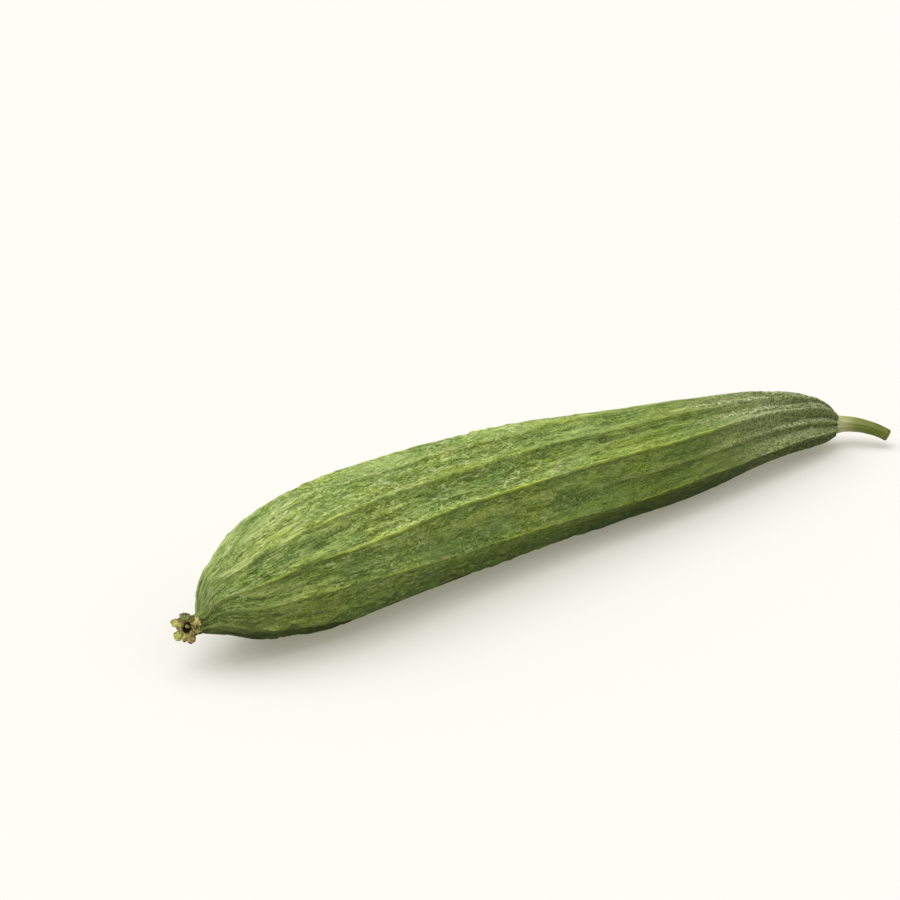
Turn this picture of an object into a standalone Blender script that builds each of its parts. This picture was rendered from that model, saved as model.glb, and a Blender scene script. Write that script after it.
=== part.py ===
"""Ridge gourd lying on its side, as picked: ribbed body, cut stalk and dried flower end.

Metres, +Z up. The body runs along X from its blossom end to its stem end. It rests at z = 0 on two of
its ridges, and the origin is on that surface, under the middle of the whole.
"""
from math import atan2, cos, exp, pi, radians, sin

import bmesh
import bpy
import numpy as np
from mathutils import Matrix, Vector

# Body, along its length. A share runs from 0 at the blossom end to 1 at the stem end.
BODY_LENGTH = 0.3412
BODY_START = (-0.1754, -0.00246)
CREST_RADIUS = ((0.0, 0.0037), (0.03, 0.0142), (0.10, 0.0244), (0.22, 0.0288), (0.45, 0.0274),
                (0.70, 0.0226), (0.88, 0.0155), (0.96, 0.0113), (1.0, 0.0046))
FULL_RADIUS = 0.0288
LIFT = ((0.0, 0.0165), (0.04, 0.0082), (0.10, 0.0035), (0.20, 0.0003), (0.62, 0.0), (0.75, 0.0012),
        (0.90, 0.0042), (0.96, 0.0042), (1.0, 0.0057))
SIDE_SWAY = ((0.0, -0.0044), (0.20, 0.0018), (0.45, 0.0050), (0.70, 0.0015), (0.88, -0.0004), (1.0, -0.0033))
AXIS_TILT = ((0.0, 0.02), (0.03, 0.24), (0.08, 0.22), (0.16, 0.04), (0.80, -0.06), (1.0, -0.12))
PRESS = 0.0009
AXIS_STEP = 0.01

# Ridges. Degrees round the body, from its near side (-Y) upwards, at each of the shares. The two lowest
# stand at equal angles from straight down.
RIDGE_SHARES = (0.15, 0.30, 0.55, 0.95)
RIDGE_ANGLES = ((-72, -72, -72, -72), (-39, -40, -43, -44), (-1, -8, -15, -15), (27, 29, 31.5, 48),
                (56, 57.5, 61, 80), (87, 83, 87, 110), (125, 124, 125, 142), (165, 165, 166, 176),
                (208, 208, 209, 214), (252, 252, 252, 252))
LOWEST_RIDGES = radians(18)
TIP_TWIST = 27
TIP_TWIST_SHARE = 0.05
RIDGE_WANDER = 0.7
WANDER_WAVES = 3.1
WANDER_STEP = 0.37
WANDER_SHIFT = 0.29
BEAD_HEIGHT = ((0.0, 0.0001), (0.06, 0.0006), (0.30, 0.0008), (0.80, 0.0009), (0.97, 0.0009), (1.0, 0.0003))
BEAD_WIDTH = 0.0011
HOLLOW = ((0.0, 0.0), (0.08, 0.0004), (0.35, 0.0006), (0.75, 0.0008), (0.92, 0.0014), (1.0, 0.0004))
RIBLET_START = 0.50
RIBLET_FULL = 0.95
RIBLET_FADE = 0.02
RIBLET_WIDTH = 0.0016
RIBLET_HEIGHT = (0.0004, 0.0006, 0.0018, 0.0009, 0.0008, 0.0008, 0.0006, 0.0007, 0.0006, 0.0002)
LUMP_HEIGHT = 0.00018
LUMP_WAVES = (5, 13)
LUMP_WAVE_COUNT = 3
LUMP_SEED = 7

# Fineness of the body: rings along it, and where the points stand between one ridge and the next.
RINGS = 52
RING_CROWDING = 0.68
GAP_STEPS = (0.0, 0.11, 0.31, 0.5, 0.69, 0.89)

# Stalk
STALK_LENGTH = 0.0242
STALK_START_WAY = (0.89, -0.46, 0.10)
STALK_END_WAY = (0.40, -0.88, -0.34)
STALK_RADIUS = ((0.0, 0.0045), (0.12, 0.0039), (0.35, 0.0034), (0.70, 0.0029), (0.93, 0.0027), (1.0, 0.0028))
STALK_RIBS = 5
STALK_RIB_HEIGHT = 0.07
STALK_RINGS = 11
STALK_SIDES = 20
STALK_CUT_DISH = 0.0006
STALK_CUT_SHARE = 0.7
STALK_FLARE_SHARE = 0.2

# Dried flower end
CALYX_WAY = (-1.0, -0.05, 0.02)
CUP_OUTER = ((0.0, 0.0036), (0.0018, 0.0034), (0.0040, 0.0034), (0.0062, 0.0039))
CUP_INNER = ((0.0065, 0.0033), (0.0050, 0.0025), (0.0038, 0.0014))
CUP_SIDES = 20
LOBE_COUNT = 5
LOBE_LENGTH = 0.0058
LOBE_WIDTH = 0.0036
LOBE_THICKNESS = 0.0011
LOBE_THINNING = 0.45
LOBE_CUPPING = 0.0022
LOBE_ROOT_WIDTH = 0.86
LOBE_SWELL = 0.5
LOBE_TAPER = 1.05
LOBE_TAPER_POWER = 2.6
LOBE_ROOT = (0.0026, 0.0050)
LOBE_SPREAD = radians(34)
LOBE_CURL = radians(30)
LOBE_STEPS = 5
LOBE_COLUMNS = 4

# How far each lobe may differ from the sizes above, as the lowest and highest share of them.
LENGTH_RANGE = (0.82, 1.08)
WIDTH_RANGE = (0.85, 1.05)
SPREAD_RANGE = (0.6, 1.2)
CURL_RANGE = (0.5, 1.3)
TURN_RANGE = (-0.09, 0.09)
LOBE_SEED = 3

STYLE_RADIUS = 0.0011
STYLE_LENGTH = 0.0046
STYLE_TIP = 0.35
STYLE_SIDES = 10

# Gaps: between the cup and its stub, and beyond the body's two ends
GAP = 0.0003
END_GAP = 0.0007

# Edges at least this sharp keep a hard shade.
SHARP_ANGLE = radians(35)

# Colours, roughness
SKIN = ((0.150, 0.215, 0.062), 0.55)
STALK_GREEN = ((0.250, 0.290, 0.100), 0.55)
CALYX_TAN = ((0.330, 0.300, 0.090), 0.75)
STYLE_BROWN = ((0.110, 0.065, 0.028), 0.85)


def clear_objects():
    """Remove what the open file holds, and keep the file itself."""
    for thing in list(bpy.data.objects):
        bpy.data.objects.remove(thing, do_unlink=True)


def smooth_through(stations, share):
    """A smooth curve through the stations, which never swings past them."""
    places = np.array([place for place, _ in stations], dtype=float)
    values = np.array([value for _, value in stations], dtype=float)
    steps = np.diff(values) / np.diff(places)
    steepest = 3 * np.minimum(abs(steps[:-1]), abs(steps[1:]))
    slopes = np.gradient(values, places)
    slopes[1:-1] = np.where(steps[:-1] * steps[1:] > 0, np.clip(slopes[1:-1], -steepest, steepest), 0)
    first = int(np.clip(np.searchsorted(places, share, side="right") - 1, 0, len(places) - 2))
    width = places[first + 1] - places[first]
    part = (share - places[first]) / width
    rest = 1 - part
    level = values[first] * (1 + 2 * part) * rest ** 2 + values[first + 1] * part ** 2 * (3 - 2 * part)
    return float(level + width * part * rest * (slopes[first] * rest - slopes[first + 1] * part))


def crest_radius(share):
    """Radius over the ridges. Its square is smooth, which rounds both ends."""
    squares = [(place, radius ** 2) for place, radius in CREST_RADIUS]
    return smooth_through(squares, share) ** 0.5


def centre(share):
    """Middle of the body's section, so that the two lowest ridges touch the surface."""
    height = crest_radius(share) * cos(LOWEST_RIDGES) - PRESS + smooth_through(LIFT, share)
    return Vector((BODY_START[0] + share * BODY_LENGTH,
                   BODY_START[1] + smooth_through(SIDE_SWAY, share), height))


def section_axes(share):
    """Directions across the section: to the far side, and up."""
    ahead = min(share + AXIS_STEP, 1)
    behind = max(share - AXIS_STEP, 0)
    sway = smooth_through(SIDE_SWAY, ahead) - smooth_through(SIDE_SWAY, behind)
    run = (ahead - behind) * BODY_LENGTH
    along = Vector((1, sway / run, smooth_through(AXIS_TILT, share))).normalized()
    across = Vector((0, 0, 1)).cross(along).normalized()
    return across, along.cross(across)


def ridge_angle(ridge, share):
    """Angle of one ridge at a share of the length: a little wavy, and twisted towards the blossom end."""
    turns, number = divmod(ridge, len(RIDGE_ANGLES))
    held = min(max(share, RIDGE_SHARES[0]), RIDGE_SHARES[-1])
    angle = smooth_through(list(zip(RIDGE_SHARES, RIDGE_ANGLES[number])), held)
    lowest = number in (0, len(RIDGE_ANGLES) - 1)
    waves = sin(2 * pi * (share * (WANDER_WAVES + WANDER_STEP * number) + WANDER_SHIFT * number))
    wander = 0 if lowest else RIDGE_WANDER * waves
    return radians(angle + wander + TIP_TWIST * exp(-share / TIP_TWIST_SHARE)) + 2 * pi * turns


def lump(gap, share):
    """Slow swellings of the face between two ridges, different on each face, none on the lowest."""
    if gap == len(RIDGE_ANGLES) - 1:
        return 0.0
    random = np.random.default_rng(LUMP_SEED + gap)
    waves = random.uniform(*LUMP_WAVES, LUMP_WAVE_COUNT)
    phases = random.uniform(0, 2 * pi, LUMP_WAVE_COUNT)
    return LUMP_HEIGHT * float(np.sin(2 * pi * share * waves + phases).sum())


def skin_point(share, gap, part):
    """A point of the skin, at a part of the way from one ridge to the next."""
    start = ridge_angle(gap, share)
    width = ridge_angle(gap + 1, share) - start
    angle = start + width * part
    radius = crest_radius(share)
    bead = smooth_through(BEAD_HEIGHT, share)
    flat = (radius - bead) * cos(width / 2) / cos(width * (part - 0.5))
    from_crest = radius * width * min(part, 1 - part)
    hollow = smooth_through(HOLLOW, share) * sin(pi * part) ** 2
    swell = lump(gap, share) * sin(pi * part) * min(1, radius / FULL_RADIUS)
    reach = min(max((share - RIBLET_START) / (RIBLET_FULL - RIBLET_START), 0), 1)
    riblet = RIBLET_HEIGHT[gap] * reach * exp(-(radius * width * (part - 0.5) / RIBLET_WIDTH) ** 2)
    riblet = riblet * min(1, (1 - share) / RIBLET_FADE)
    depth = flat - hollow + swell + riblet + bead * exp(-(from_crest / BEAD_WIDTH) ** 2)
    across, up = section_axes(share)
    point = centre(share) + depth * (sin(angle) * up - cos(angle) * across)
    point.z = max(point.z, 0)
    return point


def ring_shares():
    """Rings closer together at both ends than in the middle."""
    even = [number / (RINGS - 1) for number in range(RINGS)]
    return [(1 - RING_CROWDING) * share + RING_CROWDING * (1 - cos(pi * share)) / 2 for share in even]


def mesh_object(name, bm, material):
    """Turn a finished mesh into a named, smooth object with its own material."""
    bm.normal_update()
    bmesh.ops.recalc_face_normals(bm, faces=bm.faces)
    bmesh.ops.triangulate(bm, faces=bm.faces)
    mesh = bpy.data.meshes.new(name)
    bm.to_mesh(mesh)
    bm.free()
    mesh.materials.append(material)
    mesh.shade_smooth()
    mesh.set_sharp_from_angle(angle=SHARP_ANGLE)
    thing = bpy.data.objects.new(name, mesh)
    bpy.context.scene.collection.objects.link(thing)
    return thing


def finish(name, look):
    """A plain material from a colour and a roughness."""
    colour, roughness = look
    material = bpy.data.materials.new(name)
    material.use_nodes = True
    shader = material.node_tree.nodes["Principled BSDF"]
    shader.inputs["Base Color"].default_value = (*colour, 1)
    shader.inputs["Roughness"].default_value = roughness
    shader.inputs["Metallic"].default_value = 0.0
    return material


def add_fruit():
    """Spin a row of points into an even tube, then move each point to its place on the skin."""
    columns = len(RIDGE_ANGLES) * len(GAP_STEPS)
    shares = ring_shares()
    bm = bmesh.new()
    places = [(-1, 0)] + [(number, 1) for number in range(RINGS)] + [(RINGS, 0)]
    row = [bm.verts.new((number, -radius, 0)) for number, radius in places]
    edges = [bm.edges.new(pair) for pair in zip(row, row[1:])]
    bmesh.ops.spin(bm, geom=row + edges, cent=(0, 0, 0), axis=(1, 0, 0), angle=2 * pi, steps=columns,
                   use_merge=True)
    bmesh.ops.remove_doubles(bm, verts=bm.verts, dist=0.001)
    for vert in bm.verts:
        number = round(vert.co.x)
        share = shares[min(max(number, 0), RINGS - 1)]
        if number < 0 or number >= RINGS:
            vert.co = centre(share)
            continue
        turn = atan2(vert.co.z, -vert.co.y) % (2 * pi)
        column = round(turn / (2 * pi) * columns) % columns
        gap, step = divmod(column, len(GAP_STEPS))
        vert.co = skin_point(share, gap, GAP_STEPS[step])
    return mesh_object("fruit", bm, finish("gourd_skin", SKIN))


def frame_along(place, way):
    """A frame whose Z runs along a direction, and whose Y stays near world up."""
    along = Vector(way).normalized()
    side = Vector((0, 0, 1)).cross(along).normalized()
    up = along.cross(side)
    return Matrix.Translation(place) @ Matrix((side, up, along)).transposed().to_4x4()


def add_ring(bm, frame, radii):
    """A closed ring of points round the frame's Z, with its own radius for each point."""
    count = len(radii)
    made = bmesh.ops.create_circle(bm, segments=count, radius=1)["verts"]
    for number, vert in enumerate(made):
        turn = 2 * pi * number / count
        vert.co = frame @ Vector((radii[number] * cos(turn), radii[number] * sin(turn), 0))
    return made


def bridge(bm, rings):
    """Join each ring to the next, and close both ends with a face."""
    for first, second in zip(rings, rings[1:]):
        pair = set(first) | set(second)
        edges = [edge for edge in bm.edges if set(edge.verts) <= pair]
        bmesh.ops.bridge_loops(bm, edges=edges)
    bm.faces.new(rings[0])
    bm.faces.new(rings[-1])


def add_stalk():
    """A bent, tapering stalk with rounded ribs, flared where it meets the body, dished at its cut."""
    start_way = Vector(STALK_START_WAY).normalized()
    end_way = Vector(STALK_END_WAY).normalized()
    place = centre(1.0) + Vector((END_GAP, 0, 0))
    bm = bmesh.new()
    rings = []
    for number in range(STALK_RINGS):
        share = number / (STALK_RINGS - 1)
        way = start_way.lerp(end_way, share).normalized()
        if number:
            place = place + way * STALK_LENGTH / (STALK_RINGS - 1)
        square = max(0.0, 1 - share / STALK_FLARE_SHARE)
        facing = way.lerp(Vector((1, 0, 0)), square)
        radius = smooth_through(STALK_RADIUS, share)
        turns = [2 * pi * side / STALK_SIDES for side in range(STALK_SIDES)]
        radii = [radius * (1 + STALK_RIB_HEIGHT * cos(STALK_RIBS * turn)) for turn in turns]
        rings.append(add_ring(bm, frame_along(place, facing), radii))
    cut_frame = frame_along(place - end_way * STALK_CUT_DISH, end_way)
    rings.append(add_ring(bm, cut_frame, [STALK_RADIUS[-1][1] * STALK_CUT_SHARE] * STALK_SIDES))
    bridge(bm, rings)
    return mesh_object("stalk", bm, finish("cut_stalk", STALK_GREEN))


def add_cup(frame):
    """The hollow flower cup, spun round its own axis."""
    bm = bmesh.new()
    profile = [(0, 0)] + [(radius, along) for along, radius in CUP_OUTER + CUP_INNER]
    profile.append((0, CUP_INNER[-1][0]))
    row = [bm.verts.new((radius, 0, along)) for radius, along in profile]
    edges = [bm.edges.new(pair) for pair in zip(row, row[1:])]
    bmesh.ops.spin(bm, geom=row + edges, cent=(0, 0, 0), axis=(0, 0, 1), angle=2 * pi, steps=CUP_SIDES,
                   use_merge=True)
    bmesh.ops.remove_doubles(bm, verts=bm.verts, dist=0.00002)
    bmesh.ops.transform(bm, matrix=frame, verts=bm.verts)
    return mesh_object("calyx", bm, finish("dried_flower", CALYX_TAN))


def add_lobe(number, frame, random):
    """One short thick lobe: a flat bar, tapered, cupped and curled outwards."""
    length = LOBE_LENGTH * random.uniform(*LENGTH_RANGE)
    width = LOBE_WIDTH * random.uniform(*WIDTH_RANGE)
    spread = LOBE_SPREAD * random.uniform(*SPREAD_RANGE)
    curl = LOBE_CURL * random.uniform(*CURL_RANGE)
    turn = 2 * pi * (number + random.uniform(*TURN_RANGE)) / LOBE_COUNT
    bm = bmesh.new()
    bmesh.ops.create_grid(bm, x_segments=LOBE_STEPS, y_segments=LOBE_COLUMNS, size=0.5)
    made = bmesh.ops.extrude_face_region(bm, geom=bm.faces[:])["geom"]
    upper = [item for item in made if isinstance(item, bmesh.types.BMVert)]
    bmesh.ops.translate(bm, vec=(0, 0, 1), verts=upper)
    for vert in bm.verts:
        along = vert.co.x + 0.5
        side = vert.co.y
        taper = LOBE_ROOT_WIDTH + LOBE_SWELL * along - LOBE_TAPER * along ** LOBE_TAPER_POWER
        bend = spread + curl * along
        thickness = LOBE_THICKNESS * (1 - LOBE_THINNING * along)
        out = thickness * (vert.co.z - 0.5) - LOBE_CUPPING * side ** 2
        reach = length * along
        vert.co = (LOBE_ROOT[0] + reach * sin(bend) + out * cos(bend), width * taper * side,
                   LOBE_ROOT[1] + reach * cos(bend) - out * sin(bend))
    bmesh.ops.transform(bm, matrix=frame @ Matrix.Rotation(turn, 4, "Z"), verts=bm.verts)
    return mesh_object(f"lobe_{number}", bm, bpy.data.materials["dried_flower"])


def fuse(thing, pieces):
    """Join pieces that grow from a solid into it, and drop the loose ones."""
    group = bpy.data.collections.new("lobes")
    bpy.context.scene.collection.children.link(group)
    for piece in pieces:
        bpy.context.scene.collection.objects.unlink(piece)
        group.objects.link(piece)
    union = thing.modifiers.new("union", "BOOLEAN")
    union.operation = "UNION"
    union.operand_type = "COLLECTION"
    union.collection = group
    union.solver = "EXACT"
    bpy.context.view_layer.update()
    joined = bpy.data.meshes.new_from_object(thing.evaluated_get(bpy.context.evaluated_depsgraph_get()))
    thing.modifiers.clear()
    thing.data = joined
    for piece in pieces:
        bpy.data.objects.remove(piece, do_unlink=True)
    bpy.data.collections.remove(group)


def calyx_frame():
    """Where the flower cup sits: at the blossom end, drooping a little."""
    return frame_along(centre(0.0) - Vector((END_GAP, 0, 0)), CALYX_WAY)


def add_calyx():
    """The dried flower cup with its lobes, fused into one solid."""
    random = np.random.default_rng(LOBE_SEED)
    frame = calyx_frame()
    cup = add_cup(frame)
    fuse(cup, [add_lobe(number, frame, random) for number in range(LOBE_COUNT)])
    return cup


def add_style():
    """The dried stub standing in the flower cup."""
    bm = bmesh.new()
    foot = CUP_INNER[-1][0] + GAP
    bmesh.ops.create_cone(bm, cap_ends=True, segments=STYLE_SIDES, radius1=STYLE_RADIUS,
                          radius2=STYLE_RADIUS * STYLE_TIP, depth=STYLE_LENGTH)
    bmesh.ops.translate(bm, vec=(0, 0, foot + STYLE_LENGTH / 2), verts=bm.verts)
    bmesh.ops.transform(bm, matrix=calyx_frame(), verts=bm.verts)
    return mesh_object("style", bm, finish("dried_style", STYLE_BROWN))


def main():
    clear_objects()
    add_fruit()
    add_stalk()
    add_calyx()
    add_style()


main()
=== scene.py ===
from math import cos, pi, radians, sin

import bmesh
import bpy
import numpy as np
from mathutils import Matrix, Vector, noise


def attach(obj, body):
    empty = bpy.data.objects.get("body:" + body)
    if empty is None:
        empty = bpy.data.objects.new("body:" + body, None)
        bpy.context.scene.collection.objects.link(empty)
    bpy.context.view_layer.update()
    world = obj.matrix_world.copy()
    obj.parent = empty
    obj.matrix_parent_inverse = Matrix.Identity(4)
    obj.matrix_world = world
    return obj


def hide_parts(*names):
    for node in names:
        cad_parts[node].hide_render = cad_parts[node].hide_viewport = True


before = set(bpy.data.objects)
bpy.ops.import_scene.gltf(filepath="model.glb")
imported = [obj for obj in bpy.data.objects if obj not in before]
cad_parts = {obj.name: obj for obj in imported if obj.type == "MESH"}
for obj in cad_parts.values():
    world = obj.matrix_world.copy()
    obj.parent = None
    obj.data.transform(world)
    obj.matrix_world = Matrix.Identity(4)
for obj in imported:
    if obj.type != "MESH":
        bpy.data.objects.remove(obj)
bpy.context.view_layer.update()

bl_info = {
    "name": "Ridge Gourd",
    "version": (1, 0, 0),
    "blender": (4, 5, 0),
    "location": "View3D > Sidebar > Gourd",
    "description": "Builds the finished skin, stalk and flower end of a ridge gourd on its solid frame",
    "category": "Add Mesh",
}

BODY = "root"

# Body, along its length. A share runs from 0 at the blossom end to 1 at the stem end. BODY_START is x and y.
BODY_START = (-0.1754, -0.00246)
CREST_RADIUS = ((0.0, 0.0037), (0.03, 0.0142), (0.10, 0.0244), (0.22, 0.0288), (0.45, 0.0274),
                (0.70, 0.0226), (0.88, 0.0155), (0.96, 0.0113), (1.0, 0.0046))
LIFT = ((0.0, 0.0165), (0.04, 0.0082), (0.10, 0.0035), (0.20, 0.0003), (0.62, 0.0), (0.75, 0.0012),
        (0.90, 0.0042), (0.96, 0.0042), (1.0, 0.0057))
SIDE_SWAY = ((0.0, -0.0044), (0.20, 0.0018), (0.45, 0.0050), (0.70, 0.0015), (0.88, -0.0004), (1.0, -0.0033))
AXIS_TILT = ((0.0, 0.02), (0.03, 0.24), (0.08, 0.22), (0.16, 0.04), (0.80, -0.06), (1.0, -0.12))
# The two lowest ridges: how far they are pressed flat, and how far round from straight down they lie
PRESS = 0.0009
LOWEST_RIDGES = radians(18)

# Ridges. Degrees round the body, from its near side (-Y) upwards, at each of the shares.
RIDGE_SHARES = (0.15, 0.30, 0.55, 0.95)
RIDGE_ANGLES = ((-72, -72, -72, -72), (-39, -40, -43, -44), (-1, -8, -15, -15), (27, 29, 31.5, 48),
                (56, 57.5, 61, 80), (87, 83, 87, 110), (125, 124, 125, 142), (165, 165, 166, 176),
                (208, 208, 209, 214), (252, 252, 252, 252))
# Degrees that the ridges twist by at the blossom end, where that has faded, and how far they wander
TIP_TWIST = 27
TIP_TWIST_SHARE = 0.05
RIDGE_WANDER = 0.7
# Height of a crest's bead along the body, its width beneath and above, and that of its round top
BEAD_HEIGHT = ((0.0, 0.0001), (0.05, 0.0004), (0.20, 0.0008), (0.40, 0.0014), (0.80, 0.0015), (0.97, 0.0013),
               (1.0, 0.0003))
BEAD_STEEP = 0.0006
BEAD_GENTLE = 0.0024
BEAD_TOP = 0.0003
# What the bead gains round the neck
TIP_BEAD = 0.0004
# Half width of the pale line on a crest, at the thin ends and what it gains on the full body
CREST_LINE = 0.00025
CREST_LINE_GAIN = 0.00040
# The painted shade line beneath a crest: how far from the crest's top, and its half width
UNDER_CREST_SHADE_OFFSET = 0.0011
UNDER_CREST_SHADE_WIDTH = 0.0006
# How strongly each ridge shows on the middle of the body. At the stem end all show in full.
RIDGE_STRENGTH = (1.0, 1.0, 1.10, 1.3, 0.75, 0.60, 0.9, 1.0, 1.0, 1.0)

# Faces between the ridges: their hollow along the body, and the small rib in the middle of each face
HOLLOW = ((0.0, 0.0), (0.08, 0.0004), (0.35, 0.0006), (0.75, 0.0008), (0.92, 0.0014), (1.0, 0.0004))
RIBLET_START = (0.50, 0.50, 0.38, 0.55, 0.50, 0.50, 0.50, 0.50, 0.50, 0.50)
RIBLET_FULL = 0.95
RIBLET_FADE = 0.02
RIBLET_WIDTH = 0.0012
RIBLET_HEIGHT = (0.0006, 0.0010, 0.0022, 0.0014, 0.0012, 0.0012, 0.0010, 0.0010, 0.0008, 0.0002)
# Height from which a small rib shows in full in the skin's colour
RIBLET_SHOWN = 0.0010
LUMP_HEIGHT = 0.00018
LUMP_SEED = 7
# The face whose lower part is the most shaded one on the near side, and gets painted shade
SHADED_FACE = 2

# Dents: share, degrees round the body, half length, half width, and depth as a share of the deepest
DENTS = ((0.47, 53, 0.0060, 0.0022, 0.7), (0.53, 55, 0.0040, 0.0016, 0.8), (0.575, 56, 0.0050, 0.0020, 1.0),
         (0.625, 58, 0.0040, 0.0016, 0.8), (0.66, 60, 0.0045, 0.0015, 0.7), (0.71, 62, 0.0050, 0.0016, 0.7),
         (0.35, 50, 0.0060, 0.0020, 0.5), (0.13, 40, 0.0045, 0.0015, 0.9), (0.40, 20, 0.0050, 0.0018, 0.4))
# Depth of the deepest dent, and the length of body that the dents' lengths are drawn for
DENT_DEPTH = 0.0016
DENT_BODY_LENGTH = 0.342

# Noise in the shapes of the skin, the stalk and the cup: its scale in metres in each direction, its octaves
# and its shift
RELIEF = {
    "crest_wave": ((0.010, 0.02, 0.02), 1, 3.1), "crest_ripple": ((0.0045, 0.02, 0.02), 1, 3.9),
    "crest_break": ((0.012, 0.03, 0.03), 2, 7.7), "crest_swell": ((0.040, 0.012, 0.012), 1, 8.9),
    "streak": ((0.050, 0.0034, 0.0034), 2, 11.3), "roll": ((0.018, 0.0055, 0.0055), 2, 23.0),
    "bend": ((0.012, 0.004, 0.004), 1, 41.0), "patch": ((0.03, 0.012, 0.012), 1, 19.0),
    "wrinkle": ((0.0046, 0.0021, 0.0021), 2, 5.0), "wart": ((0.0026, 0.0018, 0.0018), 2, 31.0),
    "stalk": ((0.006, 0.0022, 0.0022), 2, 2.0), "cup_crumple": ((0.0012, 0.0012, 0.0012), 2, 0.0),
    "cup_depth": ((0.0016, 0.0016, 0.0016), 2, 5.0),
}
# Heights of the relief, where it is full. Grooves deepen towards the stem end.
CREST_WAVE = 0.0005
CREST_RIPPLE = 0.0002
GROOVE_DEPTH = 0.00045
STEM_GROOVE_DEPTH = 0.00075
ROLL_HEIGHT = 0.00055
FLUTE_DEPTH = 0.0013
WART_HEIGHT = 0.00075
# The body's radius from which its relief is full
FULL_RELIEF_RADIUS = 0.022

# The radius at which noise that follows the ridges is read, and the neck under the flower cup
MIDDLE_RADIUS = 0.027
NECK_RADIUS = 0.0040
NECK_SHARE = 0.0115
NECK_BLEND = 3.0
# How much the last of the stem end is rounded off
STEM_ROUNDING = 0.16

# Tints of the skin: lime and dull patches, painted shade on the lower part of one face and along the bottom,
# and a darker stem half; then the colours along the stalk, of the lobes and of the floor's glow
LIME_TINT = (1.02, 0.98, 0.45)
PATCH_TINT = (0.70, 0.80, 0.66)
LOWER_FACE_SHADE_TINT = (0.80, 0.82, 0.74)
BOTTOM_SHADE_TINT = (0.25, 0.28, 0.14)
STEM_HALF_TINT = (0.86, 0.86, 0.78)
STALK_STOPS = ((0.0, (0.400, 0.410, 0.230)), (0.20, (0.345, 0.370, 0.160)), (0.45, (0.136, 0.170, 0.022)),
               (0.80, (0.086, 0.112, 0.006)), (1.0, (0.096, 0.112, 0.004)))
FLOWER_STOPS = ((0.0, (0.120, 0.210, 0.055)), (0.35, (0.430, 0.460, 0.080)), (0.65, (0.440, 0.370, 0.110)),
                (0.85, (0.230, 0.150, 0.040)), (1.0, (0.050, 0.026, 0.012)))
FLOOR_GLOW_COLOUR = (1.0, 0.970, 0.720, 1.0)

# Towards the light. The mask named facing says how far each point of the skin faces this way;
# the skin's colour paints shade where it faces away.
LIT_SIDE = Vector((-0.15, 0.40, 0.90))


def smooth_through(stations, shares):
    """A smooth curve through the stations, which never swings past them, read at each share."""
    shares = np.asarray(shares, dtype=float)
    places = np.array([place for place, _ in stations], dtype=float)
    values = np.array([value for _, value in stations], dtype=float)
    steps = np.diff(values) / np.diff(places)
    steepest = 3 * np.minimum(abs(steps[:-1]), abs(steps[1:]))
    slopes = np.gradient(values, places)
    slopes[1:-1] = np.where(steps[:-1] * steps[1:] > 0, np.clip(slopes[1:-1], -steepest, steepest), 0)
    first = np.clip(np.searchsorted(places, shares, side="right") - 1, 0, len(places) - 2)
    width = places[first + 1] - places[first]
    part = (shares - places[first]) / width
    rest = 1 - part
    level = values[first] * (1 + 2 * part) * rest ** 2 + values[first + 1] * part ** 2 * (3 - 2 * part)
    return level + width * part * rest * (slopes[first] * rest - slopes[first + 1] * part)


def bell(distance, width):
    """A smooth hump, 1 in its middle."""
    return np.exp(-(distance / width) ** 2)


def rise(value, low, high):
    """A smooth step from 0 at low to 1 at high."""
    part = np.clip((value - low) / (high - low), 0, 1)
    return part * part * (3 - 2 * part)


def noise_at(places, kind):
    """Smooth noise of one kind at each place, about -1 to 1."""
    scales, octaves, shift = RELIEF[kind]
    spots = places / np.array(scales) + shift
    if octaves == 1:
        return np.array([noise.noise(spot) for spot in spots])
    return np.array([noise.fractal(spot, 0.8, 2.1, octaves) for spot in spots])


def unit(ways):
    """The same directions, one unit long."""
    return ways / np.linalg.norm(ways, axis=-1, keepdims=True)


def across_and_up(along):
    """Directions across each unit direction: level, and up."""
    across = unit(np.cross((0, 0, 1), along))
    return across, np.cross(along, across)


def round_line(line, facing, rows, turns, radius):
    """Points round a line: each in its row of the line, at its turn and radius."""
    side, up = across_and_up(facing)
    out = np.cos(turns)[:, None] * side[rows] + np.sin(turns)[:, None] * up[rows]
    return line[rows] + radius[:, None] * out


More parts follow.
